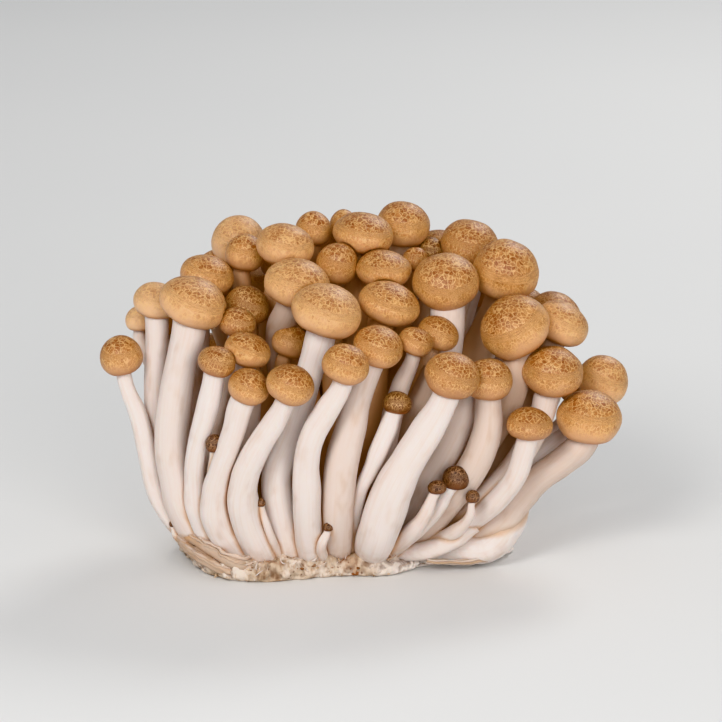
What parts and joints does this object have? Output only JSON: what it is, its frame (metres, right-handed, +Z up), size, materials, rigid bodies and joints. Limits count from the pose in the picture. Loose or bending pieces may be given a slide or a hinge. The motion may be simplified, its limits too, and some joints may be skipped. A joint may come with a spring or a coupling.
{
  "type": "beech mushroom cluster",
  "caption": "Cluster of young beech mushrooms: round tan caps with a pale crackled net on crowded cream stems that fan out from one cut foot.",
  "frame": {"origin": "middle of the cut foot's flat underside, on the surface that the cluster stands on", "axes": "+Z up, along the stems; +X to the right along the cluster's width, towards its low right side; +Y to the back"},
  "size_m": [0.1417, 0.0945, 0.0925],
  "materials": {
    "cap_skin": "smooth dry skin, satin, with a fine paler crackled net over the crown",
    "pin_head": "dry dark skin, finely speckled",
    "stem_flesh": "smooth moist flesh with fine lengthwise fibres, tan and crumbly at the foot"
  },
  "bodies": {
    "root": {"stems": "stem_flesh", "cap_01": "cap_skin", "cap_02": "cap_skin", "cap_03": "cap_skin", "cap_04": "cap_skin", "cap_05": "cap_skin", "cap_06": "cap_skin", "cap_07": "cap_skin", "cap_08": "cap_skin", "cap_09": "cap_skin", "cap_10": "cap_skin", "cap_11": "cap_skin", "cap_12": "cap_skin", "cap_13": "cap_skin", "cap_14": "cap_skin", "cap_15": "cap_skin", "cap_16": "cap_skin", "cap_17": "cap_skin", "cap_18": "cap_skin", "cap_19": "cap_skin", "cap_20": "cap_skin", "cap_21": "cap_skin", "cap_22": "cap_skin", "cap_23": "cap_skin", "cap_24": "cap_skin", "cap_25": "cap_skin", "cap_26": "cap_skin", "cap_27": "cap_skin", "cap_28": "cap_skin", "cap_29": "cap_skin", "cap_30": "cap_skin", "cap_31": "cap_skin", "cap_32": "cap_skin", "cap_33": "cap_skin", "cap_34": "cap_skin", "cap_35": "cap_skin", "cap_36": "cap_skin", "cap_37": "cap_skin", "cap_38": "cap_skin", "cap_39": "cap_skin", "cap_40": "cap_skin", "cap_41": "cap_skin", "cap_42": "cap_skin", "cap_43": "cap_skin", "pin_1": "pin_head", "pin_2": "pin_head", "pin_3": "pin_head", "pin_4": "pin_head", "caps_back_01": "cap_skin", "caps_back_02": "cap_skin", "caps_back_03": "cap_skin", "caps_back_04": "cap_skin", "caps_back_05": "cap_skin", "caps_back_06": "cap_skin", "caps_back_07": "cap_skin", "caps_back_08": "cap_skin", "caps_back_09": "cap_skin", "caps_back_10": "cap_skin", "caps_back_11": "cap_skin", "caps_back_12": "cap_skin"}
  },
  "joints": []
}
